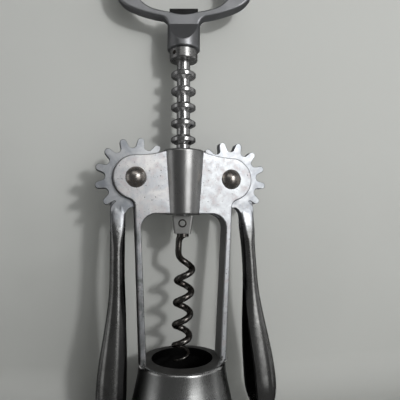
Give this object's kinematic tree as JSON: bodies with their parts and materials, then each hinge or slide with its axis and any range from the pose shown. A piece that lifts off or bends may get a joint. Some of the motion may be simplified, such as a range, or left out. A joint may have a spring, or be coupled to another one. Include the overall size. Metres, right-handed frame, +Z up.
{
  "type": "wing corkscrew",
  "caption": "Wing corkscrew with a bell-mouthed frame, geared lever arms, a round rack, a black wire worm and a handle that is also a crown cap opener.",
  "frame": {"origin": "centre of the bell's mouth, in the plane that the corkscrew stands on", "axes": "+Z up along the rack and worm, +X to the right across the two wings, -Y to the front"},
  "size_m": [0.0704, 0.0424, 0.1859],
  "materials": {
    "casting": "satin chrome plate on a zinc casting",
    "lever_plate": "satin chrome plate with long polishing marks",
    "head_plate": "satin chrome plate",
    "rack_chrome": "bright",
    "rod_steel": "bright",
    "collar_plate": "satin",
    "pin_steel": "dark",
    "rivet_dark": "dark, glossy",
    "worm_black": "black, glossy",
    "guide_plastic": "black"
  },
  "bodies": {
    "frame": {"frame_casting": "casting", "neck_guide": "guide_plastic", "left_wing_rivet": "rivet_dark", "right_wing_rivet": "rivet_dark"},
    "rack": {"rack_sleeve": "rack_chrome"},
    "spindle": {"spindle": "rod_steel", "stop_collar": "collar_plate", "collar_pin": "pin_steel", "opener_head": "head_plate", "worm": "worm_black", "worm_pin": "pin_steel"},
    "left_wing": {"left_wing": "lever_plate"},
    "right_wing": {"right_wing": "lever_plate"}
  },
  "joints": [
    {"name": "rack_slide", "type": "slide", "parent": "frame", "child": "rack", "axis": [0, 0, 1], "range_m": [-0.0347, 0]},
    {"name": "handle_spin", "type": "hinge", "parent": "rack", "child": "spindle", "pos_m": [0, 0, 0.095], "axis": [0, 0, 1], "continuous": true},
    {"name": "left_wing_hinge", "type": "hinge", "parent": "frame", "child": "left_wing", "pos_m": [-0.0182, 0, 0.095], "axis": [0, 1, 0], "range_deg": [0, 153]},
    {"name": "right_wing_hinge", "type": "hinge", "parent": "frame", "child": "right_wing", "pos_m": [0.0182, 0, 0.095], "axis": [0, -1, 0], "range_deg": [0, 153]}
  ],
  "couplings": [
    {"joint": "left_wing_hinge", "follows": "rack_slide", "rad_per_m": -76.923},
    {"joint": "right_wing_hinge", "follows": "rack_slide", "rad_per_m": -76.923}
  ]
}
